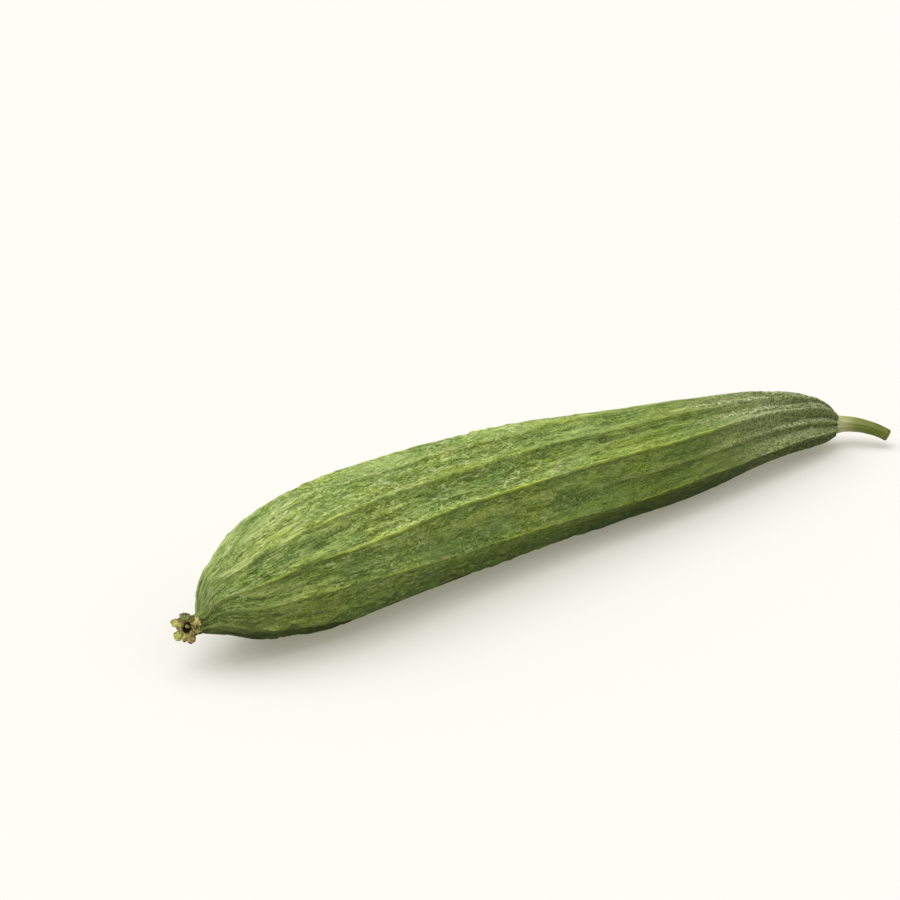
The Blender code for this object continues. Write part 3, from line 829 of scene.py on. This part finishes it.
class GOURD_OT_skin(bpy.types.Operator):
    """Build the ridged, wrinkled skin of the body"""

    bl_idname = "gourd.skin"
    bl_label = "Gourd skin"

    def execute(self, context):
        look = context.scene.gourd_skin
        columns = len(RIDGE_ANGLES) * look.gap_points
        bm, ring, column = spun_tube(look.rings, columns)
        even = np.clip(ring, 0, look.rings - 1) / (look.rings - 1)
        spread = (1 - RING_CROWDING) * even + RING_CROWDING * (1 - np.cos(pi * even)) / 2
        shares = spread * (1 + NECK_SHARE) - NECK_SHARE
        gaps, steps = np.divmod(column, look.gap_points)
        evenly = steps / look.gap_points
        parts = evenly - CREST_CROWDING * np.sin(2 * pi * evenly) / (2 * pi)
        body = GourdBody(look.length, look.relief)
        places, masks, ridge_place = body.points(shares, gaps, parts)
        poles = (ring < 0) | (ring >= look.rings)
        places[poles] = body.centre(shares[poles])
        place_points(bm, places)
        bm.normal_update()
        # How far each point faces the light, for the painted shade of the skin
        masks["facing"] = [vert.normal.dot(LIT_SIDE) for vert in bm.verts]
        skin = new_piece("gourd_skin", bm, skin_finish(look), masks,
                         {"ridge_place": ridge_place})
        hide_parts("fruit")
        return {"FINISHED"}


# Stalk radius along its length, and its cut end: share of that radius, and how far forward it stands
STALK_RADIUS = ((0.0, 0.0046), (0.09, 0.0041), (0.18, 0.0037), (0.35, 0.0033), (0.70, 0.0029),
                (0.93, 0.0027), (1.0, 0.0027))
CUT_END = ((0.985, 0.00030), (0.94, 0.00062), (0.86, 0.00090), (0.74, 0.00108), (0.55, 0.00112),
           (0.28, 0.00108), (0.08, 0.00106))
# Ribs round the stalk and the finer flutes between them, as shares of its radius. Flutes deepen at its root.
STALK_RIBS = 5
RIB_SHARE = 0.035
FLUTE_SHARE = 0.02
ROOT_FLUTE_SHARE = 0.08
ROOT_SHARE = 0.12
# Bumps on the stalk and the radius at which their noise is read, and how long and how narrow its fibres are
STALK_BUMPS = 0.00016
STALK_ROUND = 0.0035
FIBRE_LENGTH = 0.012
FIBRES_ROUND = 9


class GOURD_OT_stalk(bpy.types.Operator):
    """Build the bent, ribbed stalk with its cut end"""

    bl_idname = "gourd.stalk"
    bl_label = "Gourd stalk"

    def execute(self, context):
        stalk = context.scene.gourd_stalk
        body = GourdBody(context.scene.gourd_skin.length, 0)
        root = body.centre(np.array([1.0]))[0] - np.array([stalk.root_depth, 0, 0])
        bm, ring, column = spun_tube(stalk.rings + len(CUT_END), stalk.sides)
        last = stalk.rings - 1
        shares = np.clip(ring, 0, last) / last
        turns = 2 * pi * column / stalk.sides

        start_way = np.array(Vector(stalk.start_way).normalized())
        end_way = np.array(Vector(stalk.end_way).normalized())
        row = np.linspace(0, 1, stalk.rings)[:, None]
        ways = unit(start_way * (1 - row) + end_way * row)
        total = stalk.length + stalk.root_depth
        line = root + np.vstack([np.zeros(3), np.cumsum(ways[1:], axis=0) * total / last])
        base = np.clip(1 - row * 6, 0, 1)
        facing = unit(ways * (1 - base) + np.array([1, 0, 0]) * base)

        number = np.clip(ring, 0, last)
        beyond = ring - last
        cut = beyond > 0
        scale = np.ones(len(ring))
        forward = np.zeros(len(ring))
        for step, (part, ahead) in enumerate(CUT_END, 1):
            scale[beyond == step] = part
            forward[beyond == step] = ahead
        scale[beyond > len(CUT_END)] = 0
        forward[beyond > len(CUT_END)] = CUT_END[-1][1]
        scale[ring < 0] = 0

        ribs = np.cos(STALK_RIBS * turns + 0.6)
        flutes = np.cos(2 * STALK_RIBS * turns + 0.3)
        near_root = np.exp(-shares / ROOT_SHARE)
        radius = smooth_through(STALK_RADIUS, shares)
        spots = np.stack([shares * total, STALK_ROUND * np.cos(turns), STALK_ROUND * np.sin(turns)], -1)
        uneven = noise_at(spots, "stalk")
        fluted = FLUTE_SHARE + ROOT_FLUTE_SHARE * near_root
        radius = radius * (1 + RIB_SHARE * ribs + fluted * flutes) + STALK_BUMPS * uneven
        places = round_line(line, facing, number, turns, radius * scale)
        place_points(bm, places + facing[number] * forward[:, None])
        fibre_place = np.stack([shares * total / FIBRE_LENGTH, np.cos(turns) * FIBRES_ROUND,
                                np.sin(turns) * FIBRES_ROUND], -1)
        masks = {"share": shares, "rib": 0.5 + 0.5 * (0.6 * ribs + 0.4 * flutes),
                 "cut": np.where(cut, 1.0, 0.0) * (scale < 0.80)}
        piece = new_piece("gourd_stalk", bm, gourd_stalk_finish(), masks,
                          {"fibre_place": fibre_place})
        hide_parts("stalk")
        return {"FINISHED"}


# Flower cup: share of its path and radius at each row, up its outside and down its inside
CUP_ROWS = ((0.0, 0.0036), (0.25, 0.0035), (0.50, 0.0033), (0.75, 0.0032), (0.92, 0.0033), (1.0, 0.0031),
            (1.02, 0.0027), (0.97, 0.0024), (0.80, 0.0023), (0.60, 0.0021), (0.42, 0.0015))
CUP_FINENESS = 4
CUP_SIDES = 72
# How far the cup's foot stands off the body's blossom end, and how far behind the mouth the cup bends
CUP_ROOT = 0.0030
CUP_BEND = 0.0022
# Heights on the cup's surface: its wide and its narrow ribs, and its crumples
CUP_RIBS = (0.00018, 0.00010)
CUP_CRUMPLE = 0.00028
# Length and radius at which the noise of the crumples is read
CUP_LENGTH = 0.004
CUP_ROUND = 0.003
# Masks of the cup and its lobes, for their colours
CUP_MASKS = ("tip", "edge", "hue", "inside")
# Lobes: degrees round the mouth, length, width, spread and curl in degrees, and hue from green to brown
LOBES = ((36, 0.0040, 0.0034, 70, 40, 0.62), (98, 0.0042, 0.0040, 52, 10, 0.06),
         (166, 0.0052, 0.0028, 72, 16, 0.52), (226, 0.0058, 0.0036, 70, 44, 0.38),
         (284, 0.0046, 0.0034, 74, 30, 0.74), (-8, 0.0042, 0.0030, 88, 40, 0.68))
# Petal scraps between the lobes, in the same order of values
PETAL_SCRAPS = ((14, 0.0026, 0.0020, 30, 50, 0.93), (66, 0.0028, 0.0020, 20, 60, 0.90),
                (134, 0.0030, 0.0022, 46, 40, 0.84), (196, 0.0028, 0.0020, 50, 60, 0.80),
                (256, 0.0034, 0.0020, 60, 30, 0.42), (318, 0.0028, 0.0022, 40, 50, 0.92))
# Roots of the lobes: how far from the mouth's middle, how uneven, and how deep in the cup's wall
LOBE_ROOT = 0.0021
LOBE_ROOT_SPREAD = 0.0005
LOBE_SUNK = 0.0004
# How far a lobe's tip waves up and down
LOBE_WAVE = 0.0011


def mouth_frame(context):
    """Where the flower cup opens, and which way."""
    flower = context.scene.gourd_flower
    body = GourdBody(context.scene.gourd_skin.length, 0)
    foot = Vector(body.centre(np.array([0.0]))[0])
    return foot, frame_along(foot + Vector(flower.mouth_place), flower.mouth_way)


class GOURD_OT_flower(bpy.types.Operator):
    """Build the dried flower cup with its lobes and petal scraps"""

    bl_idname = "gourd.flower"
    bl_label = "Gourd flower cup"

    def execute(self, context):
        flower = context.scene.gourd_flower
        foot, mouth = mouth_frame(context)
        bm, masks = self.cup(foot, mouth)
        layers = [bm.verts.layers.float.new(name) for name in CUP_MASKS]
        bm.verts.ensure_lookup_table()
        for number, vert in enumerate(bm.verts):
            for layer, values in zip(layers, masks):
                vert[layer] = float(values[number])
        for number, lobe in enumerate(LOBES):
            self.add_lobe(bm, mouth, lobe, flower.lobe_thickness, number)
        for number, scrap in enumerate(PETAL_SCRAPS):
            self.add_lobe(bm, mouth, scrap, flower.lobe_thickness * 0.5, number + 10)
        bm.normal_update()
        bmesh.ops.recalc_face_normals(bm, faces=bm.faces)
        piece = new_piece("flower_cup", bm, flower_finish())
        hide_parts("calyx")
        return {"FINISHED"}

    @staticmethod
    def cup(foot, mouth):
        """A short bent cup from the neck to its mouth, with a thick rim and a hollow inside."""
        rows = (len(CUP_ROWS) - 1) * CUP_FINENESS + 1
        stations = np.arange(rows) / CUP_FINENESS
        places, radii = (np.interp(stations, np.arange(len(CUP_ROWS)), column) for column in zip(*CUP_ROWS))
        bm, ring, column = spun_tube(rows, CUP_SIDES)
        number = np.clip(ring, 0, rows - 1)
        turns = 2 * pi * column / CUP_SIDES
        start = np.array(foot) - (CUP_ROOT, 0, 0)
        end = np.array(mouth.translation)
        way = np.array(mouth.to_3x3().col[2])
        middle = end - way * CUP_BEND
        part = places[:, None]
        line = start * (1 - part) ** 2 + 2 * middle * part * (1 - part) + end * part ** 2
        facing = unit((middle - start) * (1 - part) + (end - middle) * part)
        rib = CUP_RIBS[0] * np.cos(6 * turns - 1.1) + CUP_RIBS[1] * np.cos(11 * turns)
        spots = np.stack([places[number] * CUP_LENGTH, CUP_ROUND * np.cos(turns),
                          CUP_ROUND * np.sin(turns)], -1)
        crumple = CUP_CRUMPLE * noise_at(spots, "cup_crumple")
        radius = radii[number] + rib + crumple
        radius[(ring < 0) | (ring >= rows)] = 0
        spots = round_line(line, facing, number, turns, radius)
        place_points(bm, spots)
        deep = rise(stations[number] + 1.6 * noise_at(spots, "cup_depth"), 6.4, 7.4)
        nothing = np.zeros(len(ring))
        return bm, (nothing, nothing, 0.02 + 0.40 * rise(places[number], 0.2, 1.0), deep)

    @staticmethod
    def add_lobe(bm, mouth, lobe, thickness, seed):
        """A thick curled blade with rounded edges, its root inside the cup's wall."""
        turn, length, width, spread, curl, tint = lobe
        blade = bmesh.new()
        layers = [blade.verts.layers.float.new(name) for name in CUP_MASKS]
        bmesh.ops.create_grid(blade, x_segments=24, y_segments=16, size=0.5)
        top = bmesh.ops.extrude_face_region(blade, geom=blade.faces[:])["geom"]
        bmesh.ops.translate(blade, vec=(0, 0, 1), verts=[v for v in top if isinstance(v, bmesh.types.BMVert)])
        turned = mouth @ Matrix.Rotation(radians(turn), 4, "Z")
        for vert in blade.verts:
            along = vert.co.x + 0.5
            side = vert.co.y * 2
            level = vert.co.z - 0.5
            outline = (0.72 + 0.80 * along - 0.30 * along ** 2) * max(0.0, 1 - along ** 6) ** 0.5
            ragged = 1 + 0.45 * noise.noise(Vector((along * 3.4, side * 1.3, seed * 3.7)))
            half = 0.5 * width * outline * ragged
            round_edge = max(0.0, 1 - side ** 4) ** 0.5 * max(0.0, 1 - along ** 8) ** 0.5
            puff = 1 + 0.9 * noise.noise(Vector((along * 2.6, side * 1.6, seed * 2.3 + 9)))
            lift = level * thickness * puff * (0.12 + 0.88 * round_edge)
            cupped = -0.30 * half * side ** 2
            wave = LOBE_WAVE * noise.noise(Vector((along * 3, side * 1.7, seed * 1.9 + 5))) * along
            bend = radians(spread) + radians(curl) * along
            reach = length * along
            out = -(lift + cupped + wave)
            root = LOBE_ROOT + LOBE_ROOT_SPREAD * sin(seed * 2.4)
            spot = Vector((root + reach * sin(bend) + out * cos(bend), half * side,
                           reach * cos(bend) - out * sin(bend) - LOBE_SUNK))
            for layer, value in zip(layers, (along, max(abs(side), along) ** 3, tint, 0.0)):
                vert[layer] = value
            vert.co = turned @ spot
        mesh = bpy.data.meshes.new("blade")
        blade.to_mesh(mesh)
        blade.free()
        bm.from_mesh(mesh)
        bpy.data.meshes.remove(mesh)


# Stub: its points, the radius of its tip, how far it leans, and the share of it below the cup's mouth
STYLE_RINGS = 24
STYLE_SIDES = 30
STYLE_POINT = 0.00003
STYLE_LEAN = 0.0011
STYLE_SUNK = 0.72


class GOURD_OT_style(bpy.types.Operator):
    """Build the dried stub in the flower cup"""

    bl_idname = "gourd.style"
    bl_label = "Gourd style"

    def execute(self, context):
        flower = context.scene.gourd_flower
        bm, ring, column = spun_tube(STYLE_RINGS, STYLE_SIDES)
        shares = np.clip(ring, 0, STYLE_RINGS - 1) / (STYLE_RINGS - 1)
        turns = 2 * pi * column / STYLE_SIDES
        ribs = 1 + 0.20 * np.cos(3 * turns + 2 * shares)
        radius = flower.style_radius * (1 - shares ** 1.3) ** 0.7 * ribs
        radius = np.where((ring < 0) | (ring >= STYLE_RINGS), 0, np.maximum(radius, STYLE_POINT))
        lean = STYLE_LEAN * shares ** 1.5
        spots = np.stack([radius * np.cos(turns) - 0.3 * lean, radius * np.sin(turns) + lean,
                          flower.style_length * (shares - STYLE_SUNK)], -1)
        mouth = mouth_frame(context)[1]
        place_points(bm, [mouth @ Vector(spot) for spot in spots])
        piece = new_piece("dried_style", bm, style_finish(), {"tip": shares})
        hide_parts("style")
        return {"FINISHED"}


# Lights: direction that each comes from, width of its soft disc in degrees, and colour
KEY_LIGHT = ((-0.30, 0.24, 0.92), 78, (1.0, 0.985, 0.955))
FILL_LIGHT = ((0.0, -0.25, 0.97), 95, (1.0, 0.985, 0.96))
ROOM_COLOUR = (1.0, 0.99, 0.965, 1.0)
# Camera: sensor in millimetres, and the nearest distance that it sees in metres
SENSOR_WIDTH = 36
NEAREST_SEEN = 0.01


class GOURD_OT_stage(bpy.types.Operator):
    """Build the floor, the soft lights and the camera"""

    bl_idname = "gourd.stage"
    bl_label = "Gourd stage"

    def execute(self, context):
        stage = context.scene.gourd_stage
        self.add_floor(stage)
        self.add_light("key", stage.key_strength, *KEY_LIGHT)
        self.add_light("fill", stage.fill_strength, *FILL_LIGHT)
        world = bpy.data.worlds.new("soft_room")
        world.use_nodes = True
        ground = world.node_tree.nodes["Background"]
        ground.inputs["Color"].default_value = ROOM_COLOUR
        ground.inputs["Strength"].default_value = stage.sky_strength
        context.scene.world = world
        context.scene.view_settings.view_transform = "Standard"
        self.add_camera(context.scene, stage)
        return {"FINISHED"}

    @staticmethod
    def add_floor(stage):
        bm = bmesh.new()
        bmesh.ops.create_grid(bm, x_segments=1, y_segments=1, size=stage.floor_size / 2)
        floor = new_object("floor", bm, floor_finish(stage.floor_colour, stage.floor_glow))

    @staticmethod
    def add_light(name, strength, way, softness, colour):
        """A far light from a direction, with a wide disc for soft shadows."""
        data = bpy.data.lights.new(name, "SUN")
        data.energy = strength
        data.angle = radians(softness)
        data.color = colour
        look_back(name, data, Vector(way), Vector(way))

    @staticmethod
    def add_camera(scene, stage):
        back = Vector((sin(stage.azimuth) * cos(stage.elevation), -cos(stage.azimuth) * cos(stage.elevation),
                       sin(stage.elevation)))
        data = bpy.data.cameras.new("camera")
        data.sensor_width = SENSOR_WIDTH
        data.lens = stage.lens
        data.clip_start = NEAREST_SEEN
        scene.camera = look_back("camera", data, Vector(stage.aim) + back * stage.distance, back)


class GOURD_PT_panel(bpy.types.Panel):
    """Lists the steps that build the gourd, with their sizes and colours"""

    bl_label = "Ridge Gourd"
    bl_idname = "GOURD_PT_panel"
    bl_space_type = "VIEW_3D"
    bl_region_type = "UI"
    bl_category = "Gourd"

    def draw(self, context):
        for operator, group in STEPS:
            box = self.layout.box()
            box.operator(operator)
            settings = getattr(context.scene, group)
            for key in settings.__annotations__:
                box.prop(settings, key)


STEPS = (("gourd.skin", "gourd_skin"), ("gourd.stalk", "gourd_stalk"), ("gourd.flower", "gourd_flower"),
         ("gourd.style", "gourd_flower"), ("gourd.stage", "gourd_stage"))
GROUPS = {"gourd_skin": GOURD_PG_skin, "gourd_stalk": GOURD_PG_stalk, "gourd_flower": GOURD_PG_flower,
          "gourd_stage": GOURD_PG_stage}
CLASSES = (*GROUPS.values(), GOURD_OT_skin, GOURD_OT_stalk, GOURD_OT_flower, GOURD_OT_style, GOURD_OT_stage,
           GOURD_PT_panel)


def register():
    for made in CLASSES:
        bpy.utils.register_class(made)
    for name, group in GROUPS.items():
        setattr(bpy.types.Scene, name, bpy.props.PointerProperty(type=group))


def unregister():
    for name in GROUPS:
        delattr(bpy.types.Scene, name)
    for made in reversed(CLASSES):
        bpy.utils.unregister_class(made)


def main():
    """Build every piece and the stage."""
    register()
    bpy.ops.gourd.skin()
    bpy.ops.gourd.stalk()
    bpy.ops.gourd.flower()
    bpy.ops.gourd.style()
    bpy.ops.gourd.stage()
    bpy.context.view_layer.update()


if __name__ == "__main__":
    main()
